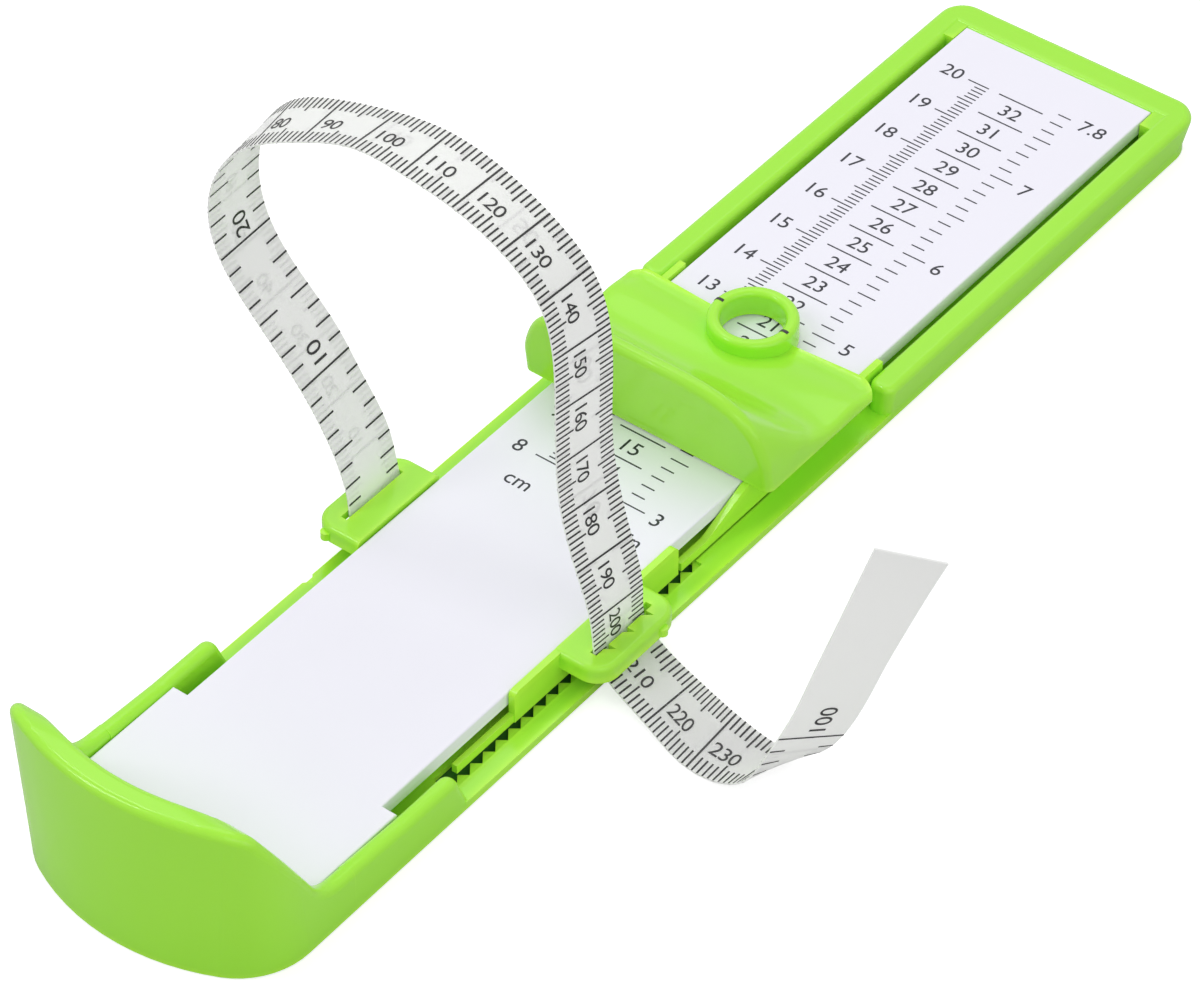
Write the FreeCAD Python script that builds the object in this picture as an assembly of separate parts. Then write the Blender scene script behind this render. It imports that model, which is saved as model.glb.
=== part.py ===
"""Foot measuring device: a moulded base with a heel cup and side rails, a printed scale plate,
a toe slider that runs along the plate, and a girth carrier that holds a flexible measuring tape.

Frame, in millimetres: +X to the right as seen from the heel, +Y from heel to toe, +Z up.
X = 0 is the centre line, Y = 0 is where the heel touches the cup, Z = 0 is the table.
"""
import FreeCAD, Part
import math
import os

V = FreeCAD.Vector

# ---- base ----
half_width = 25.0            # base, from the centre line to its side
cup_back = -4.5              # rearmost point of the cup at the table
toe_end = 248.0              # outer face of the toe bar
toe_bar = 6.0                # toe bar, along Y
toe_corner = 4.2             # plan radius of the base's toe corners at the top
toe_corner_foot = 6.5        # and at the table
rail_flare = 0.7             # how far the high rails lean out at the top, each side
floor_thick = 0.9
low_rail_height = 1.5
low_rail_inner = 20.65       # inner face of the low rails
high_rail_inner = 20.9       # inner face of the high rails beside the toe half of the plate
high_rail_start = 156.3
high_rail_round = 1.8        # plan radius of the high rails' free ends
heel_rail_inner = 22.1       # inner face of the raised rails beside the heel
heel_rail_top = 7.8
heel_rail_end = 46.2         # where their tops end
heel_rail_foot = 48.8        # where their sloping ends meet the low rails
heel_rail_round = 2.0        # side-view radius of the raised rails' free ends
rail_edge_round = 1.2        # rounding of the high rails' top edges
rail_notch_y = 70.5          # small notch in the outer edge of the left low rail
rail_notch = 1.2
slot_end_gap = 4.0           # solid corner between the toe bar and the end of each side slot

# ---- heel cup ----
cup_height = 31.0            # rim above the table
cup_lean = -0.2              # how far the rim stands behind the foot of the wall
cup_flare = 0.5              # how far the rim is wider than the foot, each side
cup_foot_wall = 4.5          # wall at the back of the cup
cup_rim_wall = 4.6
cup_side_wall = 2.9          # wall at its sides
heel_radius_foot = 40.0      # plan radius of the back of the cup at the table
heel_radius_rim = 50.0
corner_radius_foot = 13.0
corner_radius_rim = 9.0
cup_front = 22.0             # where the cup's sides have run out into the raised rails
wing_top_y = 2.6             # side view: the rim starts to fall here
wing_foot_y = 15.2           # side view: the falling edge meets the raised rail here
wing_foot_z = 8.8
wing_run_out = 34.0          # the raised rail is down to its own height here
wing_top_round = 5.0
wing_foot_round = 7.0
rim_round = 1.3              # rounding of the rim and of the raised rails

# ---- rack inside the right low rail ----
tooth_pitch = 3.1
tooth_depth = 1.4
tooth_lean = 0.8             # the root of each gap lies this far from the middle of its mouth
rack_root = 21.45            # the roots of the gaps, from the centre line
rack_ledge = 21.9            # the rail's inner face behind the teeth
rack_start = 48.9
rack_end = 112.0
rack_slot = 2.4              # open slot between the teeth and the floor

# ---- scale plate ----
plate_top = 7.3
plate_thick = 2.6
plate_half = 19.1            # half-width between the side slots
plate_step_y = 35.5          # the plate is wider on the heel side of this step
plate_fit = 0.2              # gap between the plate and what it lies against
plate_edge_round = 0.3
peg_radius = 2.0
peg_length = 2.0
peg_play = 0.05
peg_inset_heel = 24.5        # heel peg, from the rearmost point of the cup
peg_inset_toe = 16.0         # toe peg, from the inner face of the toe bar
spine_half = 14.0            # rib under the plate
heel_spine_end = 60.0
toe_spine_start = 113.0

# ---- running fits of the two moving pieces ----
run_gap = 0.3                # vertical gap to the plate and the rails
side_gap = 0.25              # gap between a leg and the plate's edge
leg_thick = 1.2
leg_bottom = 1.8

# ---- toe slider ----
toe_contact_y = 123.6        # rest position of the toe contact, where the scale is read from
toe_contact_height = 8.0     # height above the plate at which a toe touches the wall
toe_wall_lean = 0.15         # the wall leans towards the heel, mm per mm of height
index_offset = 30.0          # the index lies this far behind the toe contact
slider_half = 24.6
crest_height = 22.2          # above the plate
slider_length = 29.4         # from the foot of the toe wall to the back edge
slider_back_thick = 2.9
slider_corner = 3.5          # plan radius of its back corners
slider_wall = 2.2
crest_round = 1.4
arch_power = 2.6             # squareness of the arch at the toe wall, 2 is an ellipse
back_power = 14.0            # squareness of the low section at the back
squaring = 1.4               # how late the sections turn square
back_dish = 0.45             # the back's middle is lower than its sides by this share
fall_length = 16.2           # from the foot of the toe wall to the foot of the fall behind the crest
fall_power = 1.6             # how hollow that fall is
saddle_shares = [0.0, 0.1, 0.22, 0.35, 0.47, 0.56, 0.66, 0.82, 1.0]    # where its sections stand
ring_outer = 7.6
ring_hole = 5.4
ring_top = 4.9               # above the plate
ring_edge_round = 1.0        # rounding of both edges of its top
slider_leg_start = 3.2       # legs start this far behind the toe wall's foot
slider_leg_length = 33.2
hook_reach = 2.0             # the hooks reach this far under the plate
hook_thick = 2.0
hook_start = 8.0             # from the start of the leg
hook_length = 16.0
tongue_reach = 10.8          # sloping tongue ahead of the toe wall's foot, right side only
finger_reach = 17.5          # thin finger ahead of the toe wall's foot, right side only
finger_top = 3.4             # above the table

# ---- girth carrier ----
carrier_y = 86.4             # middle of the ears at rest
ear_length = 20.2
ear_outer = 28.8
ear_top = 0.7                # above the plate
ear_thick = 1.5
ear_corner = 4.0
ear_rim = 1.2                # thickness of the turned-down rim under each ear
ear_rim_depth = 3.1          # rim height, from the ear's top
ear_edge_round = 0.9
nub_radius = 0.9             # small round nubs on the ears' rims
nub_low = 5.3                # above the table
nub_high = 6.7
strap_length = 13.0          # strap under the plate, along Y
strap_thick = 2.2
block_top = 0.6              # above the plate
heel_block = 11.0            # right leg, from the ear towards the heel
toe_block = 10.0             # right leg, from the ear towards the toe
pawl_thick = 1.0
pawl_top = 3.4               # above the table
carrier_travel = 14.0        # towards the heel
pawl_stop_gap = 2.0          # left between the pawl's tip and the end of its slot after the travel
index_notch = 1.5            # three small notches beside the right tape slot
index_notch_pitch = 4.7

# ---- measuring tape ----
tape_width = 12.5
tape_thick = 0.35
slot_x = 24.7
slot_play_side = 0.425       # slot clearance on each face of the tape
slot_play_end = 0.75         # slot clearance at each edge of the tape

# Route of the tape in a plane across the device: X, and height above the plate's top.
# It starts tucked under the left ear, arches over the instep and leaves under the right ear.
tape_route = [
    (-21.0, -1.4), (-24.7, -1.4), (-26.2, 7.0), (-34.5, 25.0), (-47.5, 40.0), (-51.0, 55.0),
    (-43.5, 69.5), (-28.0, 76.3), (-9.0, 77.6), (8.0, 71.5), (17.3, 59.0), (17.9, 42.0),
    (18.4, 28.0), (22.4, 13.0), (24.7, 3.0), (24.7, -1.8), (29.5, -5.3), (38.5, -6.4),
    (49.5, -6.2), (59.5, -1.0), (67.0, 11.5), (71.5, 26.0), (75.5, 40.0), (80.5, 53.0),
]
route_share = 0.45           # each bend takes this share of its shorter run

# ---- places that follow from the sizes above ----
toe_inner = toe_end - toe_bar
plate_bottom = plate_top - plate_thick
leg_inner = plate_half + side_gap
leg_outer = leg_inner + leg_thick
slider_bottom = plate_top + run_gap
wall_foot_y = toe_contact_y + toe_wall_lean * toe_contact_height
slider_back = wall_foot_y + slider_length
index_y = toe_contact_y + index_offset
ear_heel = carrier_y - ear_length / 2
ear_toe = carrier_y + ear_length / 2


# ---- helpers ----
def corner(before, point, after, radius):
    """Tangent points and middle of the arc that rounds one corner of a path."""
    ax, ay = before[0] - point[0], before[1] - point[1]
    bx, by = after[0] - point[0], after[1] - point[1]
    la, lb = math.hypot(ax, ay), math.hypot(bx, by)
    ax, ay, bx, by = ax / la, ay / la, bx / lb, by / lb
    half = math.acos(max(-1.0, min(1.0, ax * bx + ay * by))) / 2
    reach = radius / math.tan(half)
    mx, my = ax + bx, ay + by
    lm = math.hypot(mx, my)
    centre = radius / math.sin(half)
    middle = (centre - radius) / lm
    start = (point[0] + ax * reach, point[1] + ay * reach)
    end = (point[0] + bx * reach, point[1] + by * reach)
    return start, (point[0] + mx * middle, point[1] + my * middle), end


def rounded_outline(points, radii, place):
    """Closed wire through the points, each corner rounded by its radius (0 keeps it sharp)."""
    stops = []
    for i, point in enumerate(points):
        if radii[i] > 0:
            after = points[(i + 1) % len(points)]
            stops.append(corner(points[i - 1], point, after, radii[i]))
        else:
            stops.append((point, None, point))
    edges = []
    for i, (start, middle, end) in enumerate(stops):
        if middle is not None:
            edges.append(Part.Arc(place(*start), place(*middle), place(*end)).toShape())
        following = stops[(i + 1) % len(stops)][0]
        if math.hypot(following[0] - end[0], following[1] - end[1]) > 1e-6:
            edges.append(Part.makeLine(place(*end), place(*following)))
    return Part.Wire(Part.__sortEdges__(edges))


def prism_up(points, radii, low, high):
    """Plan outline, extruded from one height to another."""
    wire = rounded_outline(points, radii, lambda x, y: V(x, y, low))
    return Part.Face(wire).extrude(V(0, 0, high - low))


def prism_across(points, radii, left, right):
    """Side-view outline (Y, Z), extruded across the device."""
    wire = rounded_outline(points, radii, lambda y, z: V(left, y, z))
    return Part.Face(wire).extrude(V(right - left, 0, 0))


def box(x0, x1, y0, y1, z0, z1):
    return Part.makeBox(x1 - x0, y1 - y0, z1 - z0, V(x0, y0, z0))


def mirrored(shape):
    return shape.mirror(V(0, 0, 0), V(1, 0, 0))


def flat_edges(shape, height):
    """Edges that lie flat at one height."""
    found = []
    for edge in shape.Edges:
        b = edge.BoundBox
        if abs(b.ZMin - height) < 1e-4 and abs(b.ZMax - height) < 1e-4:
            found.append(edge)
    return found


def soft_top(shape, height, radius):
    """Round every edge of the flat top at one height."""
    return shape.makeFillet(radius, flat_edges(shape, height))


# ---- base ----
def heel_outline(half, back, big, small, front, height):
    """Plan wire of the cup: straight sides, rounded corners and a wide arc at the back."""
    side = half - small
    centre_y = back + big
    corner_y = centre_y - math.sqrt((big - small) ** 2 - side ** 2)
    reach = big / (big - small)
    touch = (side * reach, centre_y + (corner_y - centre_y) * reach)
    angle = math.atan2(touch[1] - corner_y, touch[0] - side) / 2
    bend = (side + small * math.cos(angle), corner_y + small * math.sin(angle))

    def at(x, y):
        return V(x, y, height)

    edges = [
        Part.makeLine(at(half, front), at(half, corner_y)),
        Part.Arc(at(half, corner_y), at(*bend), at(*touch)).toShape(),
        Part.Arc(at(*touch), at(0, back), at(-touch[0], touch[1])).toShape(),
        Part.Arc(at(-touch[0], touch[1]), at(-bend[0], bend[1]), at(-half, corner_y)).toShape(),
        Part.makeLine(at(-half, corner_y), at(-half, front)),
        Part.makeLine(at(-half, front), at(half, front)),
    ]
    return Part.Wire(edges)


def cup_section(inset, side_inset, share, front, height):
    """Cup outline at a share of the way from foot to rim, moved in at its back and sides."""
    half = half_width + cup_flare * share - side_inset
    back = cup_back - cup_lean * share + inset
    big = heel_radius_foot + (heel_radius_rim - heel_radius_foot) * share - inset
    small = corner_radius_foot + (corner_radius_rim - corner_radius_foot) * share
    return heel_outline(half, back, big, small - (inset + side_inset) / 2, front, height)


def cup_inside(front):
    """Space inside the cup's wall, from the plate's underside to past the rim."""
    share = plate_bottom / cup_height
    foot = cup_foot_wall + (cup_rim_wall - cup_foot_wall) * share
    lower = cup_section(foot, cup_side_wall, share, front, plate_bottom)
    upper = cup_section(cup_rim_wall, cup_side_wall, 1.0, front, cup_height)
    inside = Part.makeLoft([lower, upper], True, True)
    lid = Part.Face(upper).extrude(V(0, 0, 1.0))
    return inside.fuse(lid)


def heel_cup():
    """Cup wall: flaring shell whose sides fall to the raised rails."""
    foot = cup_section(0, 0, 0, cup_front, 0)
    rim = cup_section(0, 0, 1, cup_front, cup_height)
    shell = Part.makeLoft([foot, rim], True, True)
    shell = shell.cut(cup_inside(cup_front + 1.0))
    over = cup_height + 5.0
    far = wing_run_out + 5.0
    behind = cup_back - 8.0
    fall = [(behind, cup_height), (wing_top_y, cup_height), (wing_foot_y, wing_foot_z),
            (wing_run_out, heel_rail_top), (far, heel_rail_top), (far, over), (behind, over)]
    radii = [0, wing_top_round, wing_foot_round, 0, 0, 0, 0]
    shell = shell.cut(prism_across(fall, radii, -half_width - 5, half_width + 5))
    edges = []
    for edge in shell.Edges:
        b = edge.BoundBox
        if b.ZMin > heel_rail_top + 0.3 and b.ZMax > wing_foot_z + 1.0:
            edges.append(edge)
    return shell.makeFillet(rim_round, edges)


def heel_rail(side):
    """Raised rail beside the heel, rounded down at its free end."""
    start = cup_front - 0.5
    share = (start - wing_foot_y) / (wing_run_out - wing_foot_y)
    start_top = wing_foot_z + (heel_rail_top - wing_foot_z) * share
    profile = [(start, 0), (heel_rail_foot, 0), (heel_rail_foot, low_rail_height),
               (heel_rail_end, heel_rail_top), (wing_run_out, heel_rail_top), (start, start_top)]
    bar = prism_across(profile, [0, 0, 0, heel_rail_round, 0, 0], heel_rail_inner, half_width)
    edges = []
    for edge in bar.Edges:
        b = edge.BoundBox
        if b.XLength < 1e-4 and b.ZMin > low_rail_height - 0.01 and b.YLength > 0.5:
            edges.append(edge)
    bar = bar.makeFillet(rim_round, edges)
    return bar if side > 0 else mirrored(bar)


def toe_frame():
    """High rails and toe bar, in one U."""
    i, e = high_rail_inner, high_rail_round
    wires = []
    for z, w, c in ((low_rail_height, half_width, toe_corner_foot),
                    (plate_top, half_width + rail_flare, toe_corner)):
        points = [(-w, high_rail_start), (-w, toe_end), (w, toe_end), (w, high_rail_start),
                  (i, high_rail_start), (i, toe_inner), (-i, toe_inner), (-i, high_rail_start)]
        wires.append(rounded_outline(points, [e, c, c, e, e, 0, 0, e], lambda x, y: V(x, y, z)))
    frame = Part.makeLoft(wires, True, True)
    frame = soft_top(frame, plate_top, rail_edge_round)
    blocks = []
    for side in (1, -1):
        inner = plate_half + plate_fit
        block = box(inner, i + 1.0, toe_inner - slot_end_gap, toe_inner + 1.0, 0, plate_top - plate_fit)
        blocks.append(block if side > 0 else mirrored(block))
    return frame.multiFuse(blocks)


def floor_pan():
    """Floor with the two low rails, from the cup to the toe bar."""
    w = half_width
    start = cup_front - 1.0
    pan = prism_up([(-w, start), (w, start), (w, toe_end), (-w, toe_end)],
                   [0, 0, toe_corner_foot, toe_corner_foot], 0, low_rail_height)
    well = box(-low_rail_inner, low_rail_inner, plate_step_y, toe_inner - slot_end_gap, floor_thick,
               low_rail_height + 1)
    return pan.cut(well)


def rack_openings():
    """Open slot beside the rack, the triangular gaps between its teeth, and the ledge they stand on."""
    tip = rack_root - tooth_depth
    count = int((rack_end - rack_start) / tooth_pitch)
    end = rack_start + count * tooth_pitch
    points = [(tip - rack_slot, rack_start), (tip, rack_start)]
    for n in range(count):
        y = rack_start + n * tooth_pitch
        points.append((tip, y + 0.1))
        points.append((rack_root, y + tooth_pitch / 2 - tooth_lean / 2))
        points.append((tip, y + tooth_pitch - 0.1))
    points += [(tip, end), (tip - rack_slot, end)]
    slot = prism_up(points, [0] * len(points), -1.0, floor_thick + 1.0)
    ledge = box(low_rail_inner - 1.0, rack_ledge, rack_start, end, floor_thick, low_rail_height + 1.0)
    return slot.fuse(ledge)


def plate_seats():
    """What the plate lies on: a seat between the raised rails and a rib along the middle."""
    wide = heel_rail_inner + 0.5
    heel = box(-wide, wide, cup_front - 1.0, plate_step_y - plate_fit, floor_thick, plate_bottom)
    rib = box(-spine_half, spine_half, plate_step_y - 1.0, heel_spine_end, floor_thick, plate_bottom)
    toe = box(-spine_half, spine_half, toe_spine_start, toe_inner + 1.0, floor_thick, plate_bottom)
    return [heel, rib, toe]


def peg_places():
    return [(0, cup_back + peg_inset_heel), (0, toe_end - toe_bar - peg_inset_toe)]


def base_frame():
    base = floor_pan()
    pieces = plate_seats() + [heel_cup(), heel_rail(1), heel_rail(-1), toe_frame()]
    base = base.multiFuse(pieces).removeSplitter()
    depth = peg_length + plate_fit
    for x, y in peg_places():
        hole = Part.makeCylinder(peg_radius + peg_play, depth + 1, V(x, y, plate_bottom - depth))
        base = base.cut(hole)
    base = base.cut(rack_openings())
    w, n = half_width, rail_notch
    corners = [(-w - 1, rail_notch_y - n), (-w, rail_notch_y - n), (-w + n, rail_notch_y),
               (-w, rail_notch_y + n), (-w - 1, rail_notch_y + n)]
    return base.cut(prism_up(corners, [0] * 5, floor_thick, low_rail_height + 1))


# ---- scale plate ----
def scale_plate():
    """Printed plate: as wide as the raised rails at the heel, narrower between the side slots."""
    wall = cup_foot_wall + plate_fit
    side = cup_side_wall + plate_fit
    heel = Part.Face(cup_section(wall, side, 0, plate_step_y, plate_bottom))
    heel = heel.extrude(V(0, 0, plate_thick))
    narrow = box(-plate_half, plate_half, plate_step_y - 1, toe_inner - plate_fit, plate_bottom, plate_top)
    plate = heel.fuse(narrow).removeSplitter()
    plate = soft_top(plate, plate_top, plate_edge_round)
    pegs = [Part.makeCylinder(peg_radius, peg_length + 1, V(x, y, plate_bottom - peg_length))
            for x, y in peg_places()]
    return plate.multiFuse(pegs)


# ---- toe slider ----
def arch_section(half, rise, foot_y, lean, power, dish):
    """Closed wire across the slider: a squared arch on a straight base, dished in its middle."""
    points = []
    right = [1.0, 0.997, 0.985, 0.95, 0.9, 0.82, 0.7, 0.5, 0.25]
    for x in right + [0.0] + [-x for x in reversed(right)]:
        z = (1 - abs(x) ** power) ** (1 / power) * rise * (1 - dish * (1 - x * x) ** 2)
        points.append(V(x * half, foot_y - lean * z, slider_bottom + z))
    curve = Part.BSplineCurve()
    curve.interpolate(points)
    return Part.Wire([curve.toShape(), Part.makeLine(points[-1], points[0])])


def saddle_height(share):
    """Height of the slider's sides above its underside, at a share of the way from toe wall to back."""
    rise = crest_height - run_gap
    low = slider_back_thick - run_gap
    fall = max(0.0, 1 - share * slider_length / fall_length)
    return low + (rise - low) * fall ** fall_power


def saddle_section(share, height, half):
    y = wall_foot_y + slider_length * share
    power = arch_power + (back_power - arch_power) * share ** squaring
    return arch_section(half, height, y, toe_wall_lean * (1 - share), power, back_dish * share)


def saddle():
    """Body of the slider: high arch at the toe wall, falling in a hollow curve to the low back edge."""
    sections = [saddle_section(share, saddle_height(share), slider_half) for share in saddle_shares]
    return Part.makeLoft(sections, True, False)


def saddle_hollow():
    """Space under the arch, a wall's thickness inside the body and thicker under the steep fall."""
    sections = []
    for share in (slider_wall / slider_length, 0.18, 0.28, 0.37):
        height = saddle_height(share) - slider_wall * (2.1 - share)
        sections.append(saddle_section(share, height, slider_half - slider_wall * 2.6))
    return Part.makeLoft(sections, True, False)


def slider_leg(front, back, top_points):
    """Leg in the side slot, as a side-view outline between the plate's edge and the rail."""
    points = [(front, leg_bottom)] + top_points + [(back, leg_bottom)]
    return prism_across(points, [0] * len(points), leg_inner, leg_outer)


def toe_slider():
    body = saddle()
    crest = []
    for edge in body.Edges:
        b = edge.BoundBox
        if b.ZMax > slider_bottom + 5.0 and b.YMax < wall_foot_y + 0.5:
            crest.append(edge)
    body = body.makeFillet(crest_round, crest)
    w = slider_half + 1.0
    plan = prism_up([(-w, wall_foot_y - 10), (w, wall_foot_y - 10), (w, slider_back), (-w, slider_back)],
                    [0, 0, slider_corner + 1, slider_corner + 1], slider_bottom, slider_bottom + 40)
    body = body.common(plan)
    body = body.cut(saddle_hollow())
    window = Part.makeCylinder(ring_hole, 30, V(0, index_y, slider_bottom - 1))
    ring = Part.makeCylinder(ring_outer, ring_top - run_gap, V(0, index_y, slider_bottom)).cut(window)
    ring = soft_top(ring, plate_top + ring_top, ring_edge_round)
    body = body.cut(window).fuse(ring)

    start = wall_foot_y + slider_leg_start
    end = start + slider_leg_length
    top = slider_bottom + 0.3
    plain = slider_leg(start, end, [(start, top), (end, top)])
    tip = wall_foot_y - finger_reach
    tongue = wall_foot_y - tongue_reach
    sloped = slider_leg(tip, end, [(tip, finger_top), (tongue, finger_top), (wall_foot_y - 0.5, plate_top),
                                   (start, top), (end, top)])
    hook_low = plate_bottom - run_gap - hook_thick
    hook = box(leg_inner - side_gap - hook_reach, leg_inner + 0.5, start + hook_start,
               start + hook_start + hook_length, hook_low, plate_bottom - run_gap)
    return body.multiFuse([sloped, mirrored(plain), hook, mirrored(hook)]).removeSplitter()


# ---- girth carrier ----
def ear():
    """Right ear: thin top with a turned-down rim and the tape slot through it."""
    top = plate_top + ear_top
    plan = [(leg_inner, ear_heel), (ear_outer, ear_heel), (ear_outer, ear_toe), (leg_inner, ear_toe)]
    slab = prism_up(plan, [0, ear_corner, ear_corner, 0], top - ear_rim_depth, top)
    edges = []
    for edge in flat_edges(slab, top):
        if edge.BoundBox.XMax > leg_outer:
            edges.append(edge)
    slab = slab.makeFillet(ear_edge_round, edges)
    r = ear_rim
    inner = [(leg_outer, ear_heel + r), (ear_outer - r, ear_heel + r), (ear_outer - r, ear_toe - r),
             (leg_outer, ear_toe - r)]
    hollow = prism_up(inner, [0, ear_corner - r, ear_corner - r, 0], top - ear_rim_depth - 1, top - ear_thick)
    slab = slab.cut(hollow)
    half_slot = tape_width / 2 + slot_play_end
    side = tape_thick / 2 + slot_play_side
    slot = box(slot_x - side, slot_x + side, carrier_y - half_slot, carrier_y + half_slot, 0, top + 1)
    return slab.cut(slot)


def index_notches():
    """Three small triangular notches in the right slot's outer edge, to read the tape against."""
    edge_x = slot_x + tape_thick / 2 + slot_play_side
    notches = []
    for n in (-1, 0, 1):
        y = carrier_y + n * index_notch_pitch
        h = index_notch
        points = [(edge_x - 0.3, y - h / 2), (edge_x + h, y + h / 2), (edge_x - 0.3, y + h / 2)]
        notches.append(prism_up(points, [0, 0, 0], plate_top - 1.5, plate_top + ear_top + 1))
    return notches


def nub(x, y):
    """Small upright nub on an ear's rim."""
    return Part.makeCylinder(nub_radius, nub_high - nub_low, V(x, y, nub_low))


def girth_carrier():
    top = plate_top + block_top
    leg_left = box(leg_inner, leg_outer, ear_heel, ear_toe, leg_bottom, plate_top + ear_top - ear_thick + 0.5)
    heel_end = ear_heel - heel_block
    toe_side = ear_toe + toe_block
    profile = [(heel_end, leg_bottom), (toe_side, leg_bottom), (toe_side, top), (heel_end, top)]
    leg_right = prism_across(profile, [0, 0, 1.2, 1.2], leg_inner, leg_outer)
    pawl_tip = plate_step_y + pawl_stop_gap + carrier_travel
    pawl = box(leg_inner, leg_inner + pawl_thick, pawl_tip, heel_end + 1, leg_bottom, pawl_top)
    strap_top = plate_bottom - run_gap
    strap = box(-leg_outer, leg_outer, carrier_y - strap_length / 2, carrier_y + strap_length / 2,
                strap_top - strap_thick, strap_top)
    right = ear().cut(Part.makeCompound(index_notches()))
    left = mirrored(ear())
    nubs = [nub(ear_outer - 0.1, carrier_y + 5.2), nub(-(ear_outer - 2.8), ear_heel + 0.2)]
    return strap.multiFuse([leg_right, mirrored(leg_left), right, left, pawl] + nubs).removeSplitter()


# ---- measuring tape ----
def route_bends():
    """Tangent points, radius and side of every bend of the tape's route."""
    bends = []
    for before, point, after in zip(tape_route, tape_route[1:], tape_route[2:]):
        run = min(math.dist(before, point), math.dist(point, after))
        ux, uy = (point[0] - before[0]), (point[1] - before[1])
        wx, wy = (after[0] - point[0]), (after[1] - point[1])
        turn = math.atan2(ux * wy - uy * wx, ux * wx + uy * wy)
        radius = route_share * run / math.tan(abs(turn) / 2)
        bends.append((before, point, after, radius, math.copysign(1, turn)))
    return bends


def tape_side(offset):
    """Edges of one face of the tape, offset to the left of the route (negative: right)."""
    def place(p):
        return V(p[0], carrier_y - tape_width / 2, plate_top + p[1])

    def moved(p, q):
        length = math.dist(p, q)
        nx, ny = -(q[1] - p[1]) / length, (q[0] - p[0]) / length
        return (p[0] + nx * offset, p[1] + ny * offset), (q[0] + nx * offset, q[1] + ny * offset)

    edges = []
    last = moved(tape_route[0], tape_route[1])[0]
    for before, point, after, radius, side in route_bends():
        start, middle, end = corner(before, point, after, radius)
        out = math.dist(point, middle)
        mx, my = (middle[0] - point[0]) / out, (middle[1] - point[1]) / out
        centre = (middle[0] + mx * radius, middle[1] + my * radius)
        scale = (radius - side * offset) / radius
        a, m, b = [(centre[0] + (p[0] - centre[0]) * scale, centre[1] + (p[1] - centre[1]) * scale)
                   for p in (start, middle, end)]
        edges.append(Part.makeLine(place(last), place(a)))
        edges.append(Part.Arc(place(a), place(m), place(b)).toShape())
        last = b
    final = moved(tape_route[-2], tape_route[-1])[1]
    edges.append(Part.makeLine(place(last), place(final)))
    return edges


def measuring_tape():
    left = tape_side(tape_thick / 2)
    right = tape_side(-tape_thick / 2)
    start = Part.makeLine(left[0].Vertexes[0].Point, right[0].Vertexes[0].Point)
    end = Part.makeLine(left[-1].Vertexes[-1].Point, right[-1].Vertexes[-1].Point)
    outline = Part.Wire(Part.__sortEdges__(left + right + [start, end]))
    middle = Part.Wire(tape_side(0.0))
    radii = [round(bend[3], 1) for bend in route_bends()]
    print("tape length along its route", round(middle.Length, 1), "bend radii", radii)
    return Part.Face(outline).extrude(V(0, tape_width, 0))


def main():
    os.makedirs("parts", exist_ok=True)
    nodes = {
        "base_frame": base_frame(),
        "scale_plate": scale_plate(),
        "toe_slider": toe_slider(),
        "girth_carrier": girth_carrier(),
        "measuring_tape": measuring_tape(),
    }
    for name, shape in nodes.items():
        solids = shape.Solids
        print(name, "solids", len(solids), "valid", shape.isValid(), "volume", round(shape.Volume, 1))
        shape.exportStep("parts/" + name + ".step")


main()
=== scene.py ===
"""Dresses the foot measuring device: printed scales, girth tape, plastics, light and camera."""

from __future__ import annotations

import logging
import math
from dataclasses import dataclass, field
from enum import Enum

import bpy
import numpy as np
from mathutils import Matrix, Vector


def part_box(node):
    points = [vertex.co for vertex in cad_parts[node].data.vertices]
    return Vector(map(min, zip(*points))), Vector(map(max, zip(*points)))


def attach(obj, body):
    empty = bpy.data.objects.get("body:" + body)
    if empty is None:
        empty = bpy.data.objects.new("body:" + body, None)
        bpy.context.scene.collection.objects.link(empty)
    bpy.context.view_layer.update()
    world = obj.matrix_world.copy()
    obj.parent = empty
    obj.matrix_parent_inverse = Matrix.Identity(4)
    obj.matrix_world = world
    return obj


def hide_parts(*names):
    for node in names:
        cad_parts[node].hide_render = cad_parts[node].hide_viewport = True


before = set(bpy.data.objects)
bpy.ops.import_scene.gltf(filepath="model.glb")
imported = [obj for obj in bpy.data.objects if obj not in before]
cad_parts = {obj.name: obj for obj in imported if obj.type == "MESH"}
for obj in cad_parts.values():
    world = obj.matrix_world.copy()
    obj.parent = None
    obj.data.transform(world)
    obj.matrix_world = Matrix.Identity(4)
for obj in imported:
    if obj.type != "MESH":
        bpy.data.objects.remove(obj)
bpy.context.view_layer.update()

log = logging.getLogger("foot_gauge")
MM = 0.001
INCH = 25.4  # in millimetres
UPRIGHT = 0.9  # an edge is upright if this share of its length is along Z


class Align(Enum):
    """Where a printed number sits on its anchor point."""

    LEFT = "LEFT"
    CENTRE = "CENTER"


# ---------------------------------------------------------------- modelling helpers


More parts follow.
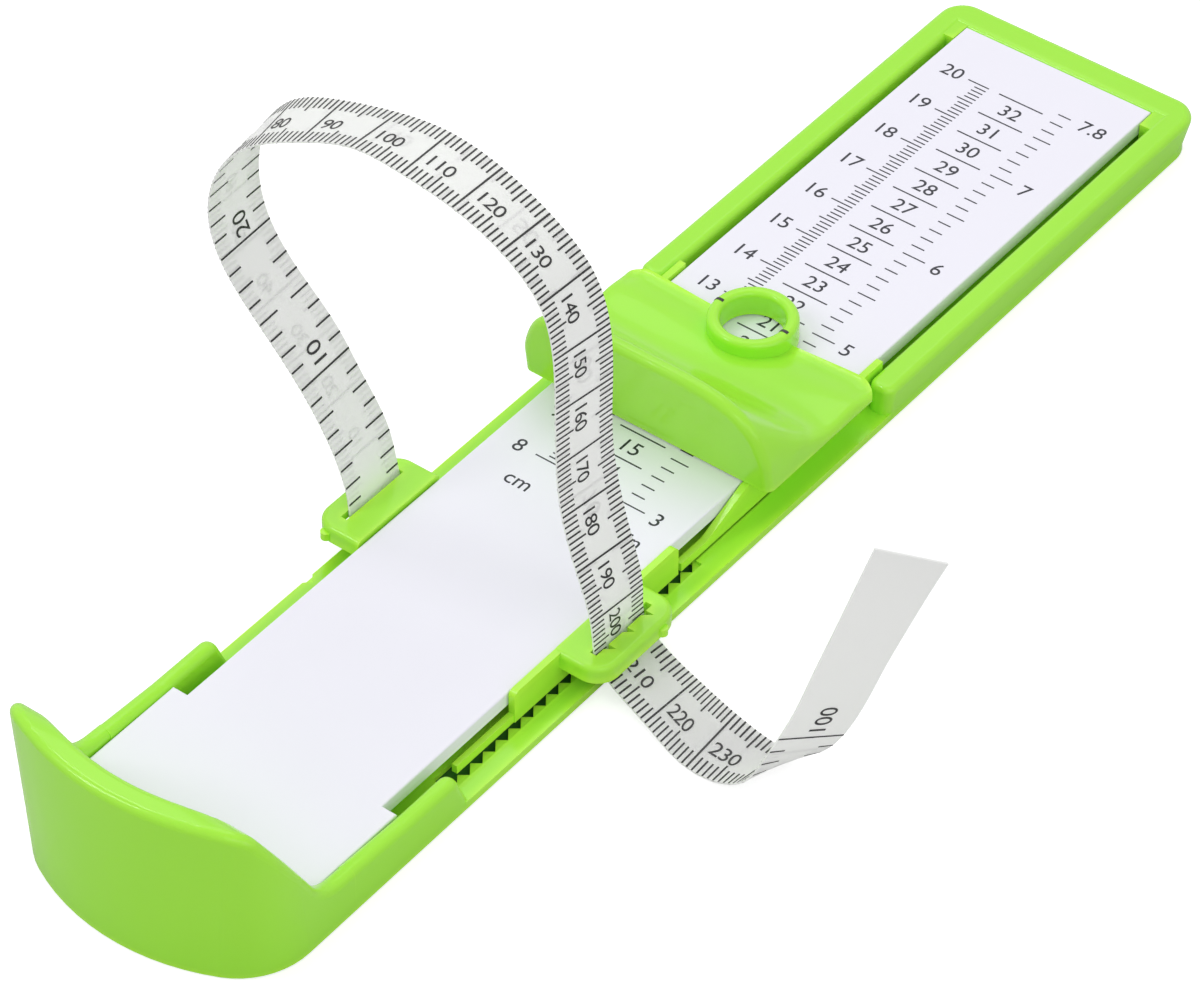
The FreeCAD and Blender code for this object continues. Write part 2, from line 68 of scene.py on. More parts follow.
class Bench:
    """Small modelling moves on one object at a time."""

    @staticmethod
    def deselect() -> None:
        """Leaves nothing selected."""
        bpy.ops.object.select_all(action="DESELECT")

    @staticmethod
    def pick(*objects: bpy.types.Object) -> None:
        """Selects only these objects; the first one becomes active.

        Args:
            objects: the objects to select.
        """
        Bench.deselect()
        for item in objects:
            item.select_set(True)
        bpy.context.view_layer.objects.active = objects[0]

    @staticmethod
    def settle(item: bpy.types.Object) -> None:
        """Moves the object's place, turn and scale into its mesh.

        Args:
            item: a mesh object.
        """
        Bench.pick(item)
        bpy.ops.object.transform_apply(location=True, rotation=True, scale=True)

    @staticmethod
    def join(items: list[bpy.types.Object], name: str) -> bpy.types.Object:
        """Joins several mesh objects into one.

        Args:
            items: the objects, all settled.
            name: name of the joined piece.

        Returns:
            The joined object.
        """
        Bench.pick(*items)
        if len(items) > 1:
            bpy.ops.object.join()
        joined = bpy.context.view_layer.objects.active
        joined.name = name
        joined.data.name = name
        return joined

    @staticmethod
    def block(size: Vector, middle: Vector, round_edges: float) -> bpy.types.Object:
        """A thin block with its upright edges rounded.

        Args:
            size: lengths along X, Y and Z, in metres.
            middle: its middle, in metres.
            round_edges: rounding of the four upright edges, in metres.

        Returns:
            The settled block.
        """
        Bench.deselect()
        bpy.ops.mesh.primitive_cube_add(size=1.0, location=middle, scale=size)
        item = bpy.context.active_object
        Bench.settle(item)
        bpy.ops.object.mode_set(mode="EDIT")
        bpy.ops.mesh.select_all(action="DESELECT")
        bpy.ops.object.mode_set(mode="OBJECT")
        points = item.data.vertices
        for edge in item.data.edges:
            run = points[edge.vertices[0]].co - points[edge.vertices[1]].co
            edge.select = abs(run.z) > UPRIGHT * run.length
        bpy.ops.object.mode_set(mode="EDIT")
        bpy.ops.mesh.select_mode(type="EDGE")
        bpy.ops.mesh.bevel(offset=round_edges, segments=1, affect="EDGES")
        bpy.ops.object.mode_set(mode="OBJECT")
        return item

    @staticmethod
    def repeat(item: bpy.types.Object, count: int, step: Vector) -> None:
        """Repeats the object's mesh in a row.

        Args:
            item: the settled object.
            count: how many there are in the end.
            step: from one to the next, in metres.
        """
        Bench.pick(item)
        row = item.modifiers.new("row", "ARRAY")
        row.count = count
        row.use_relative_offset = False
        row.use_constant_offset = True
        row.constant_offset_displace = step
        bpy.ops.object.modifier_apply(modifier=row.name)


def smooth_through(
    knots: np.ndarray, values: np.ndarray, at: np.ndarray
) -> tuple[np.ndarray, np.ndarray]:
    """Natural cubic spline through stations, and its slope.

    Args:
        knots: rising positions of the stations.
        values: one row of values per station.
        at: positions to evaluate.

    Returns:
        The values and their slopes at those positions.
    """
    count = len(knots)
    gap = np.diff(knots)
    system = np.zeros((count, count))
    right = np.zeros_like(values)
    system[0, 0] = system[-1, -1] = 1.0
    for i in range(1, count - 1):
        system[i, i - 1 : i + 2] = gap[i - 1], 2 * (gap[i - 1] + gap[i]), gap[i]
        ahead, behind = (values[i + 1] - values[i]) / gap[i], (values[i] - values[i - 1]) / gap[i - 1]
        right[i] = 6 * (ahead - behind)
    bend = np.linalg.solve(system, right)
    place = np.clip(np.searchsorted(knots, at, side="right") - 1, 0, count - 2)
    h = gap[place][:, None]
    a = (knots[place + 1] - at)[:, None]
    b = (at - knots[place])[:, None]
    low, high = values[place], values[place + 1]
    m0, m1 = bend[place], bend[place + 1]
    fall, rise = low / h - m0 * h / 6, high / h - m1 * h / 6
    here = m0 * a**3 / (6 * h) + m1 * b**3 / (6 * h) + fall * a + rise * b
    slope = -m0 * a**2 / (2 * h) + m1 * b**2 / (2 * h) - fall + rise
    return here, slope


# ---------------------------------------------------------------- finishes


@dataclass(frozen=True)
class Plastic:
    """A moulded plastic: its colours, how they vary, a painted glow on its outer edges and thin walls, its
    gloss, grain and wear; in metres.
    """

    name: str
    colour: tuple[float, float, float]
    deep: tuple[float, float, float]
    # painted glow: the brighter colour painted on outer edges and thin walls, where light would leak through
    edge: tuple[float, float, float]
    rough_low: float
    rough_high: float
    gloss: float
    coat: float
    glow: float
    grain_scale: float
    grain_depth: float
    scratches: float
    grain_strength: float = 0.6
    edge_depth: float = 0.0016
    scuff_keeps: float = 0.92
    scuff_whitens: float = 0.07
    scuff_shows: float = 0.3
    scuff_roughens: float = 0.08
    coat_rough: float = 0.06
    glow_reach: float = 0.002
    ior: float = 1.46

    def pale(self) -> tuple[float, ...]:
        """The paler colour of a scuff."""
        return tuple(self.scuff_keeps * c + self.scuff_whitens for c in self.colour)


@dataclass(frozen=True)
class Ink:
    """A printing ink on plastic: its colours where it is full and thin, and how they vary."""

    name: str
    colour: tuple[float, float, float]
    thin: tuple[float, float, float]
    rough: float
    smoother: float = 0.07
    rougher: float = 0.1
    grain_scale: float = 5200.0
    grain_depth: float = 0.00001
    grain_strength: float = 0.4
    thin_from: float = 0.50
    thin_to: float = 0.80


GREEN = Plastic(
    name="lime_plastic",
    colour=(0.395, 0.880, 0.050),
    deep=(0.375, 0.860, 0.045),
    # painted glow on outer edges and thin walls
    edge=(0.520, 0.985, 0.060),
    rough_low=0.20,
    rough_high=0.25,
    gloss=0.30,
    coat=0.25,
    glow=0.06,
    grain_scale=900.0,
    grain_depth=0.000006,
    scratches=0.12,
)
WHITE = Plastic(
    name="white_plastic",
    colour=(0.905, 0.892, 0.985),
    deep=(0.893, 0.880, 0.975),
    edge=(0.930, 0.920, 0.990),
    rough_low=0.34,
    rough_high=0.42,
    gloss=0.45,
    coat=0.05,
    glow=0.0,
    grain_scale=1400.0,
    grain_depth=0.00001,
    scratches=0.3,
)
TAPE = Plastic(
    name="tape_film",
    colour=(0.985, 0.985, 0.962),
    deep=(0.968, 0.968, 0.945),
    edge=(0.985, 0.985, 0.970),
    rough_low=0.42,
    rough_high=0.52,
    gloss=0.40,
    coat=0.0,
    glow=0.6,
    grain_scale=2600.0,
    grain_depth=0.00001,
    scratches=0.1,
)
PLATE_INK = Ink("plate_ink", (0.014, 0.015, 0.024), (0.070, 0.073, 0.095), 0.50)
TAPE_INK = Ink("tape_ink", (0.012, 0.012, 0.013), (0.055, 0.053, 0.051), 0.45)


class NodeDesk:
    """Lays out shader nodes in one tree."""

    def __init__(self, tree: bpy.types.NodeTree) -> None:
        """Keeps the tree."""
        self.tree = tree

    def node(self, kind: str, **inputs: object) -> bpy.types.Node:
        """Adds a node and sets or links its inputs.

        Args:
            kind: the node's type name.
            inputs: socket name with underscores for spaces, and a value or an output socket.

        Returns:
            The new node.
        """
        made = self.tree.nodes.new(kind)
        for key, value in inputs.items():
            self.feed(made, key.replace("_", " "), value)
        return made

    def feed(self, made: bpy.types.Node, key: str | int, value: object) -> None:
        """Sets one input of a node to a value, or links an output socket to it.

        Args:
            made: the node.
            key: the input's name or number.
            value: a value or an output socket.
        """
        if isinstance(value, bpy.types.NodeSocket):
            self.tree.links.new(value, made.inputs[key])
        else:
            made.inputs[key].default_value = value

    def calculate(self, operation: str, *values: object) -> bpy.types.NodeSocket:
        """The result of a calculation.

        Args:
            operation: what the math node does.
            values: its inputs in order, values or sockets.

        Returns:
            The result socket.
        """
        made = self.node("ShaderNodeMath")
        made.operation = operation
        for index, value in enumerate(values):
            self.feed(made, index, value)
        return made.outputs[0]

    def place(self) -> bpy.types.NodeSocket:
        """The piece's own coordinates, in metres."""
        return self.node("ShaderNodeTexCoord").outputs["Object"]

    def noise(
        self, place: bpy.types.NodeSocket, scale: float | bpy.types.NodeSocket, detail: float
    ) -> bpy.types.NodeSocket:
        """A noise value over the surface.

        Args:
            place: coordinates.
            scale: cells per metre.
            detail: octaves.

        Returns:
            The noise's value socket.
        """
        made = self.node("ShaderNodeTexNoise", Vector=place, Scale=scale, Detail=detail)
        return made.outputs["Fac"]

    def spread(
        self,
        value: bpy.types.NodeSocket,
        span: tuple[float, float] = (0.0, 1.0),
        to: tuple[float, float] = (0.0, 1.0),
    ) -> bpy.types.NodeSocket:
        """Maps a value from one range to another, clamped.

        Args:
            value: what is mapped.
            span: start and end of its range.
            to: results at the start and the end.

        Returns:
            The mapped value socket.
        """
        made = self.node(
            "ShaderNodeMapRange", Value=value, From_Min=span[0], From_Max=span[1], To_Min=to[0], To_Max=to[1]
        )
        return made.outputs["Result"]

    def blend(self, share: bpy.types.NodeSocket, one: object, other: object) -> bpy.types.NodeSocket:
        """Mixes two colours.

        Args:
            share: how much of the other colour shows.
            one: a colour or a socket.
            other: a colour or a socket.

        Returns:
            The mixed colour socket.
        """
        made = self.node("ShaderNodeMix")
        made.data_type = "RGBA"
        for index, value in ((0, share), (6, one), (7, other)):
            self.feed(made, index, (*value, 1.0) if isinstance(value, tuple) else value)
        return made.outputs[2]

    def bump(self, height: bpy.types.NodeSocket, strength: float, depth: float) -> bpy.types.NodeSocket:
        """The surface's normal, roughened by a height.

        Args:
            height: the height socket.
            strength: how much of it is used.
            depth: the height of its hills, in metres.

        Returns:
            The normal socket.
        """
        made = self.node("ShaderNodeBump", Strength=strength, Distance=depth, Height=height)
        return made.outputs["Normal"]


@dataclass(frozen=True)
class EffectSizes:
    """How coarse and how strong the shared surface effects are; scales in cells per metre."""

    flow_scale: tuple[float, float, float] = (60.0, 14.0, 45.0)
    cloud_scale: float = 70.0
    soft: tuple[float, float] = (0.2, 0.8)
    grain_detail: float = 3.0
    scuff_scale: tuple[float, float, float] = (2600.0, 90.0, 900.0)
    scuff_turn: float = 0.12
    scuff_detail: float = 2.0
    scuff_lines: tuple[float, float] = (0.66, 0.74)
    patch_scale: float = 75.0
    patches: tuple[float, float] = (0.5, 0.72)
    # range and samples of the mask for the painted edge glow
    thin: tuple[float, float] = (0.35, 0.85)
    thin_samples: int = 6


class SurfaceEffects:
    """Node groups that several finishes share."""

    def __init__(self) -> None:
        """Builds the groups once."""
        self.sizes = EffectSizes()
        self.moulding = self._moulding()
        self.rubbing = self._rubbing()
        self.thinness = self._thinness()

    @staticmethod
    def _open(
        name: str, given: str, outputs: tuple[str, ...]
    ) -> tuple[NodeDesk, bpy.types.NodeSocket, bpy.types.Node]:
        """Starts a group with one value input and named value outputs.

        Args:
            name: the group's name.
            given: name of its input.
            outputs: names of its outputs.

        Returns:
            The desk, the input's socket and the group's output node.
        """
        group = bpy.data.node_groups.new(name, "ShaderNodeTree")
        group.interface.new_socket(name=given, in_out="INPUT", socket_type="NodeSocketFloat")
        for label in outputs:
            group.interface.new_socket(name=label, in_out="OUTPUT", socket_type="NodeSocketFloat")
        desk = NodeDesk(group)
        return desk, desk.node("NodeGroupInput").outputs[given], desk.node("NodeGroupOutput")

    def _moulding(self) -> bpy.types.NodeTree:
        """Soft flow marks and a fine grain, as moulded or rolled plastic has.

        Returns:
            A group with Flow, Cloud and Grain outputs.
        """
        desk, scale, out = self._open("moulding", "Grain Scale", ("Flow", "Cloud", "Grain"))
        place, sizes = desk.place(), self.sizes
        along = desk.node("ShaderNodeMapping", Vector=place, Scale=sizes.flow_scale)
        flow = desk.noise(along.outputs["Vector"], 1.0, 1.0)
        cloud = desk.noise(place, sizes.cloud_scale, 1.0)
        desk.feed(out, "Flow", desk.spread(flow, sizes.soft))
        desk.feed(out, "Cloud", desk.spread(cloud, sizes.soft))
        desk.feed(out, "Grain", desk.noise(place, scale, sizes.grain_detail))
        return desk.tree

    def _rubbing(self) -> bpy.types.NodeTree:
        """Faint scuffs along the direction in which the pieces slide.

        Returns:
            A group with a Scuffs output, 1 on a scuff.
        """
        desk, amount, out = self._open("rubbing", "Amount", ("Scuffs",))
        place, sizes = desk.place(), self.sizes
        turn = (0.0, 0.0, sizes.scuff_turn)
        along = desk.node("ShaderNodeMapping", Vector=place, Rotation=turn, Scale=sizes.scuff_scale)
        lines = desk.noise(along.outputs["Vector"], 1.0, sizes.scuff_detail)
        where = desk.noise(place, sizes.patch_scale, sizes.scuff_detail)
        lines, where = desk.spread(lines, sizes.scuff_lines), desk.spread(where, sizes.patches)
        scuffs = desk.calculate("MULTIPLY", lines, where)
        desk.feed(out, "Scuffs", desk.calculate("MULTIPLY", scuffs, amount))
        return desk.tree

    def _thinness(self) -> bpy.types.NodeTree:
        """Where a glow of light leaking through is painted into the colour: outer edges and thin walls.

        Returns:
            A group with an Edge output, 1 on an outer edge.
        """
        desk, depth, out = self._open("thinness", "Depth", ("Edge",))
        inward = desk.node("ShaderNodeAmbientOcclusion", Distance=depth)
        inward.inside = True
        inward.only_local = True
        inward.samples = self.sizes.thin_samples
        desk.feed(out, "Edge", desk.spread(inward.outputs["AO"], self.sizes.thin, (1.0, 0.0)))
        return desk.tree


class Finishes:
    """Makes the materials once and hands them out."""

    def __init__(self) -> None:
        """Builds the shared groups."""
        self.effects = SurfaceEffects()
        self.made: dict[str, bpy.types.Material] = {}

    def _start(self, name: str) -> tuple[bpy.types.Material, NodeDesk, bpy.types.Node]:
        """Opens a material with a Principled shader.

        Args:
            name: the material's name.

        Returns:
            The material, its desk and the shader node.
        """
        material = bpy.data.materials.new(name)
        material.use_nodes = True
        return material, NodeDesk(material.node_tree), material.node_tree.nodes["Principled BSDF"]

    def _group(self, desk: NodeDesk, tree: bpy.types.NodeTree, **inputs: object) -> bpy.types.Node:
        """Places a shared group.

        Args:
            desk: the material's desk.
            tree: the group.
            inputs: values for its inputs.

        Returns:
            The group node.
        """
        made = desk.node("ShaderNodeGroup")
        made.node_tree = tree
        for key, value in inputs.items():
            desk.feed(made, key.replace("_", " "), value)
        return made

    def plastic(self, finish: Plastic) -> bpy.types.Material:
        """The material of a plastic finish.

        Args:
            finish: its values.

        Returns:
            The material, built at the first call.
        """
        if finish.name in self.made:
            return self.made[finish.name]
        material, desk, shader = self._start(finish.name)
        mould = self._group(desk, self.effects.moulding, Grain_Scale=finish.grain_scale)
        rub = self._group(desk, self.effects.rubbing, Amount=finish.scratches)
        thin = self._group(desk, self.effects.thinness, Depth=finish.edge_depth)
        scuffs = rub.outputs["Scuffs"]
        colour = desk.blend(mould.outputs["Flow"], finish.colour, finish.deep)
        # painted glow: outer edges and thin walls get a brighter colour, as light leaking through the
        # plastic would give
        colour = desk.blend(thin.outputs["Edge"], colour, finish.edge)
        colour = desk.blend(desk.spread(scuffs, to=(0.0, finish.scuff_shows)), colour, finish.pale())
        desk.feed(shader, "Base Color", colour)
        rough = desk.spread(mould.outputs["Cloud"], to=(finish.rough_low, finish.rough_high))
        rough = desk.calculate("MULTIPLY_ADD", scuffs, finish.scuff_roughens, rough)
        desk.feed(shader, "Roughness", rough)
        normal = desk.bump(mould.outputs["Grain"], finish.grain_strength, finish.grain_depth)
        desk.feed(shader, "Normal", normal)
        shader.inputs["Specular IOR Level"].default_value = finish.gloss
        shader.inputs["Coat Weight"].default_value = finish.coat
        shader.inputs["Coat Roughness"].default_value = finish.coat_rough
        shader.inputs["Subsurface Weight"].default_value = finish.glow
        shader.inputs["Subsurface Radius"].default_value = finish.colour
        shader.inputs["Subsurface Scale"].default_value = finish.glow_reach
        shader.inputs["IOR"].default_value = finish.ior
        self.made[finish.name] = material
        return material

    def ink(self, finish: Ink) -> bpy.types.Material:
        """The material of a printing ink.

        Args:
            finish: its values.

        Returns:
            The material, built at the first call.
        """
        if finish.name in self.made:
            return self.made[finish.name]
        material, desk, shader = self._start(finish.name)
        mould = self._group(desk, self.effects.moulding, Grain_Scale=finish.grain_scale)
        grain, cloud = mould.outputs["Grain"], mould.outputs["Cloud"]
        thin = desk.spread(grain, (finish.thin_from, finish.thin_to))
        desk.feed(shader, "Base Color", desk.blend(thin, finish.colour, finish.thin))
        rough = desk.spread(cloud, to=(finish.rough - finish.smoother, finish.rough + finish.rougher))
        desk.feed(shader, "Roughness", rough)
        desk.feed(shader, "Normal", desk.bump(grain, finish.grain_strength, finish.grain_depth))
        self.made[finish.name] = material
        return material


def dress(item: bpy.types.Object, material: bpy.types.Material) -> None:
    """Gives the whole piece one material.

    Args:
        item: a mesh object, new or from the frame.
        material: the material.
    """
    if not item.material_slots:
        item.data.materials.append(material)
    for spot in item.material_slots:
        spot.material = material


# ---------------------------------------------------------------- printing


@dataclass
class Printer:
    """Draws rulings and numbers as thin layers of ink on a flat surface, in millimetres."""

    layer: float = 0.03
    sink: float = 0.01
    line: float = 0.30
    line_corner: float = 0.12  # share of the line's width
    digit_share: float = 0.729  # height of a digit as a share of the font's size
    curve_steps: int = 4
    merge: float = 0.001

    def mark(
        self, middle: float, start: float, end: float, along_y: bool, base: float, line: float | None = None
    ) -> bpy.types.Object:
        """One printed line.

        Args:
            middle: its place along the scale.
            start: where it starts across the scale.
            end: where it ends across the scale.
            along_y: True if the scale runs along Y, otherwise along X.
            base: height of the surface.
            line: its width, if not the usual one.

        Returns:
            The line as a thin block.
        """
        width = self.line if line is None else line
        across, height = abs(end - start), self.layer + self.sink
        size = (across, width, height) if along_y else (width, across, height)
        side = (start + end) / 2
        place = (side, middle) if along_y else (middle, side)
        centre = Vector((*place, base + (self.layer - self.sink) / 2))
        return Bench.block(Vector(size) * MM, centre * MM, width * self.line_corner * MM)

    def number(
        self,
        text: str,
        x: float,
        y: float,
        height: float,
        base: float,
        align: Align = Align.CENTRE,
        spacing: float = 1.0,
    ) -> bpy.types.Object:
        """One printed number, read along X with its top towards Y.

        Args:
            text: the digits.
            x: its anchor along X.
            y: its middle along Y.
            height: height of the digits.
            base: height of the surface.
            align: which end of the number the anchor is.
            spacing: share of the usual distance between digits.

        Returns:
            The number as a mesh.
        """
        Bench.deselect()
        bpy.ops.object.text_add(location=(0, 0, 0))
        item = bpy.context.active_object
        words = item.data
        words.body = text
        words.size = height / self.digit_share
        words.align_x = align.value
        words.align_y = "BOTTOM_BASELINE"
        words.space_character = spacing
        words.extrude = (self.layer + self.sink) / 2
        words.resolution_u = self.curve_steps
        bpy.ops.object.convert(target="MESH")
        item = bpy.context.active_object
        item.location = Vector((x, y - height / 2, base + (self.layer - self.sink) / 2)) * MM
        item.scale = (MM, MM, MM)
        Bench.settle(item)
        bpy.ops.object.mode_set(mode="EDIT")
        bpy.ops.mesh.select_all(action="SELECT")
        bpy.ops.mesh.remove_doubles(threshold=self.merge * MM)
        bpy.ops.object.mode_set(mode="OBJECT")
        return item


@dataclass
class PlatePrint:
    """The three scales printed on the plate, in millimetres; the scale's zero lies at zero_y."""

    printer: Printer = field(default_factory=Printer)
    zero_y: float = 30.0
    digit: float = 3.05
    tick_line: float = 0.26
    cm_first: int = 8
    cm_last: int = 20
    cm_right: float = -6.25
    cm_long: float = 4.3
    cm_half: float = 3.2
    cm_short: float = 2.35
    cm_ticks: tuple[int, ...] = (1, 2, 3, 4, 6, 7, 8, 9)
    cm_numbers_x: float = -13.9
    cm_numbers_shift: float = 0.3
    cm_unit_x: float = -8.8
    shoe_first: int = 14
    shoe_last: int = 32
    shoe_pitch: float = 6.25
    shoe_left: float = -4.15
    shoe_right: float = 4.85
    shoe_line: float = 0.28
    shoe_numbers_x: float = 0.35
    inch_first_tenth: int = 30
    inch_last_tenth: int = 78
    inch_shift: float = 3.45
    inch_left: float = 7.0
    inch_long: float = 4.5
    inch_half: float = 3.5
    inch_short: float = 2.55
    inch_numbers: tuple[str, ...] = ("3", "4", "5", "6", "7", "7.8")
    inch_numbers_x: float = 14.0
    unit_y: float = 103.6

    def _tick(self, y: float, left: float, size: float, top: float) -> bpy.types.Object:
        """One thin line across the plate.

        Args:
            y: its place along the scale.
            left: its left end.
            size: its length.
            top: height of the plate's top.

        Returns:
            The line as a thin block.
        """
        return self.printer.mark(y, left, left + size, True, top, self.tick_line)

    def _centimetres(self, top: float) -> bpy.types.Object:
        """The millimetre ticks with a number at each centimetre.

        Args:
            top: height of the plate's top.

        Returns:
            The joined scale.
        """
        pattern = [(0, self.cm_long), (5, self.cm_half)] + [(n, self.cm_short) for n in self.cm_ticks]
        start = self.zero_y + 10 * self.cm_first
        ticks = [self._tick(start + n, self.cm_right - size, size, top) for n, size in pattern]
        row = Bench.join(ticks, "row")
        Bench.repeat(row, self.cm_last - self.cm_first, Vector((0, 10 * MM, 0)))
        end = self.zero_y + 10 * self.cm_last
        parts = [row, self._tick(end, self.cm_right - self.cm_long, self.cm_long, top)]
        for n in range(self.cm_first, self.cm_last + 1):
            y = self.zero_y + 10 * n + self.cm_numbers_shift
            parts.append(self.printer.number(str(n), self.cm_numbers_x, y, self.digit, top))
        parts.append(self.printer.number("cm", self.cm_unit_x, self.unit_y, self.digit, top))
        return Bench.join(parts, "centimetre_scale")

    def _shoe_sizes(self, top: float) -> bpy.types.Object:
        """The shoe sizes, each between two lines.

        Args:
            top: height of the plate's top.

        Returns:
            The joined scale.
        """
        start = self.zero_y + self.shoe_pitch * self.shoe_first
        row = self.printer.mark(start, self.shoe_left, self.shoe_right, True, top, self.shoe_line)
        count = self.shoe_last - self.shoe_first + 1
        Bench.repeat(row, count, Vector((0, self.shoe_pitch * MM, 0)))
        parts = [row]
        for n in range(self.shoe_first, self.shoe_last + 1):
            y = self.zero_y + self.shoe_pitch * (n - 0.5)
            parts.append(self.printer.number(str(n), self.shoe_numbers_x, y, self.digit, top))
        return Bench.join(parts, "shoe_size_scale")

    def _inches(self, top: float) -> bpy.types.Object:
        """The tenths of an inch with a number at each inch.

        Args:
            top: height of the plate's top.

        Returns:
            The joined scale.
        """
        start, parts = self.zero_y + self.inch_shift, []
        for tenth in range(self.inch_first_tenth, self.inch_last_tenth + 1):
            size = self.inch_half if tenth % 5 == 0 else self.inch_short
            size = self.inch_long if tenth % 10 == 0 else size
            parts.append(self._tick(start + INCH * tenth / 10, self.inch_left, size, top))
        for text in self.inch_numbers:
            y = start + INCH * float(text)
            parts.append(self.printer.number(text, self.inch_numbers_x, y, self.digit, top))
        parts.append(self.printer.number("in", self.inch_numbers_x, self.unit_y, self.digit, top))
        return Bench.join(parts, "inch_scale")

    def build(self, finishes: Finishes) -> None:
        """Prints the three scales and fixes them to the base.

        Args:
            finishes: the materials.
        """
        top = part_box("scale_plate")[1].z / MM
        for scale in (self._centimetres(top), self._shoe_sizes(top), self._inches(top)):
            dress(scale, finishes.ink(PLATE_INK))
            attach(scale, "base")
            log.info("printed %s, %d faces", scale.name, len(scale.data.polygons))


@dataclass
class ReadingMarks:
    """The two black marks laid over the rounded rim of the reading ring, in millimetres."""

    centre_y: float = 153.45
    rim_middle: float = 6.5
    rim_above_plate: float = 4.9
    rim_flat: float = 0.1
    rim_round: float = 1.0
    lift: float = 0.02
    length: float = 2.1
    width: float = 0.6
    height: float = 0.1
    shift: float = -0.45
    steps: int = 10

    def _over_rim(self, along: float) -> tuple[float, float]:
        """A point just off the rim's profile.

        Args:
            along: distance over the rim from the middle of its top, outwards.

        Returns:
            Distance from the ring's axis and depth below the rim's top.
        """
        flat = min(abs(along), self.rim_flat)
        turn = (abs(along) - flat) / self.rim_round
        reach = flat + (self.rim_round + self.lift) * math.sin(turn)
        drop = self.rim_round - (self.rim_round + self.lift) * math.cos(turn)
        return self.rim_middle + math.copysign(reach, along), drop

    def _mark(self, side: int, name: str, top: float) -> bpy.types.Object:
        """One mark.

        Args:
            side: -1 for the left one, 1 for the right one.
            name: the mark's name.
            top: height of the rim's top.

        Returns:
            The mark as a thin closed strip.
        """
        Bench.deselect()
        bpy.ops.mesh.primitive_grid_add(x_subdivisions=self.steps, y_subdivisions=1, size=1.0)
        mark = bpy.context.active_object
        for point in mark.data.vertices:
            reach, drop = self._over_rim(point.co.x * self.length + side * self.shift)
            point.co = Vector((side * reach, self.centre_y + point.co.y * self.width, top - drop)) * MM
        bpy.ops.object.mode_set(mode="EDIT")
        bpy.ops.mesh.select_all(action="SELECT")
        bpy.ops.mesh.normals_make_consistent(inside=False)
        bpy.ops.object.mode_set(mode="OBJECT")
        wall = mark.modifiers.new("wall", "SOLIDIFY")
        wall.thickness = self.height * MM
        wall.offset = 0.0
        bpy.ops.object.modifier_apply(modifier=wall.name)
        mark.name = mark.data.name = name
        return mark

    def build(self, finishes: Finishes) -> None:
        """Builds both marks and fixes them to the slider.

        Args:
            finishes: the materials.
        """
        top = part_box("scale_plate")[1].z / MM + self.rim_above_plate
        for side, name in ((-1, "reading_mark_left"), (1, "reading_mark_right")):
            mark = self._mark(side, name, top)
            dress(mark, finishes.ink(TAPE_INK))
            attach(mark, "slider")
            log.info("built %s", name)


# ---------------------------------------------------------------- tape


